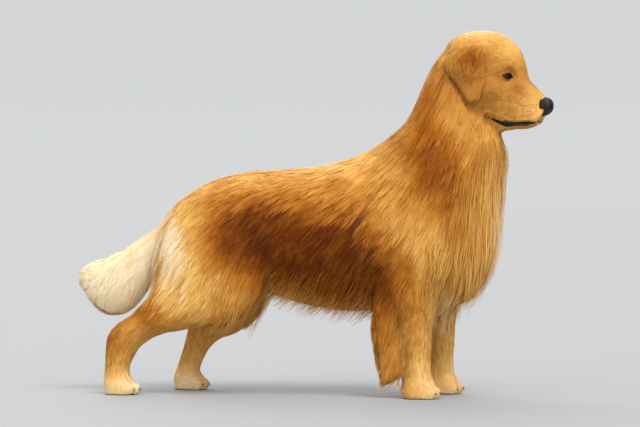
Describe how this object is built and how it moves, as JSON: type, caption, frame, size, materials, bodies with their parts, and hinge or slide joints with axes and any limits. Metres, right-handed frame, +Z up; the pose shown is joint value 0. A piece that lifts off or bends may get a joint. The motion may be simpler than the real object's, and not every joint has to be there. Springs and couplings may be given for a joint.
{
  "type": "standing long-coated dog model",
  "caption": "Life-size still model of a long-coated golden dog standing square in a show pose, head up and turned a little to its right, tail held back.",
  "frame": {"origin": "on the floor, under the middle of the dog's box", "axes": "+X the way the dog faces, +Y its left side, +Z up"},
  "size_m": [1.1884, 0.2858, 0.8802],
  "materials": {
    "golden_coat": "long soft golden hair over flesh",
    "deep_gold_coat": "short dense rust-gold hair",
    "cream_coat": "soft cream hair",
    "nose_leather": "bare, moist, finely grained",
    "eye_brown": "wet and glossy",
    "claw_horn": "smooth dark horn"
  },
  "bodies": {
    "root": {"ear_left": "deep_gold_coat", "ear_right": "deep_gold_coat", "eye_left": "eye_brown", "eye_right": "eye_brown", "foreleg_feather_left": "cream_coat", "foreleg_feather_right": "cream_coat", "foreleg_left": "golden_coat", "foreleg_right": "golden_coat", "front_paw_left": "cream_coat", "front_paw_left_claw_1": "claw_horn", "front_paw_left_claw_2": "claw_horn", "front_paw_left_claw_3": "claw_horn", "front_paw_left_claw_4": "claw_horn", "front_paw_right": "cream_coat", "front_paw_right_claw_1": "claw_horn", "front_paw_right_claw_2": "claw_horn", "front_paw_right_claw_3": "claw_horn", "front_paw_right_claw_4": "claw_horn", "head": "golden_coat", "hind_leg_left": "golden_coat", "hind_leg_right": "golden_coat", "hind_paw_left": "cream_coat", "hind_paw_left_claw_1": "claw_horn", "hind_paw_left_claw_2": "claw_horn", "hind_paw_left_claw_3": "claw_horn", "hind_paw_left_claw_4": "claw_horn", "hind_paw_right": "cream_coat", "hind_paw_right_claw_1": "claw_horn", "hind_paw_right_claw_2": "claw_horn", "hind_paw_right_claw_3": "claw_horn", "hind_paw_right_claw_4": "claw_horn", "lower_jaw": "golden_coat", "neck": "golden_coat", "nose": "nose_leather", "shoulder_left": "golden_coat", "shoulder_right": "golden_coat", "tail": "cream_coat", "thigh_left": "golden_coat", "thigh_right": "golden_coat", "trunk": "golden_coat"}
  },
  "joints": []
}
